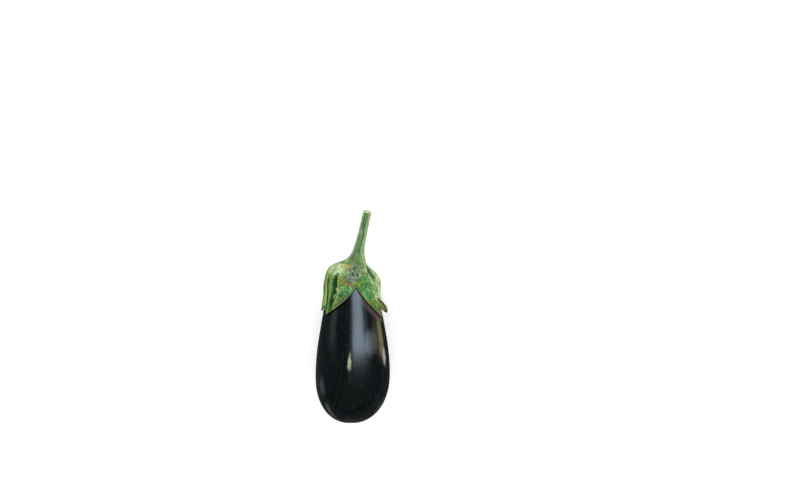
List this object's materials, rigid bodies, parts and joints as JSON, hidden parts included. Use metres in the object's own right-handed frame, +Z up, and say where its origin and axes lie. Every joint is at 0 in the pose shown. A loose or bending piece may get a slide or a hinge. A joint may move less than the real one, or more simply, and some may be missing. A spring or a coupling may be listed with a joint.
{
  "type": "eggplant",
  "caption": "Ripe dark aubergine lying on its side, a long glossy berry with a green lobed calyx and a cut stalk.",
  "frame": {"origin": "on the surface that the aubergine lies on, under the middle of its bounding box", "axes": "+Z up, +Y along the berry towards the cut stalk, +X to the right seen from above with the stalk pointing away"},
  "size_m": [0.0744, 0.2134, 0.0755],
  "materials": {
    "skin": "glossy waxy skin, almost black violet",
    "calyx_green": "dull fleshy green with a downy, mottled surface"
  },
  "bodies": {
    "root": {"fruit": "skin", "calyx_and_stalk": "calyx_green"}
  },
  "joints": []
}
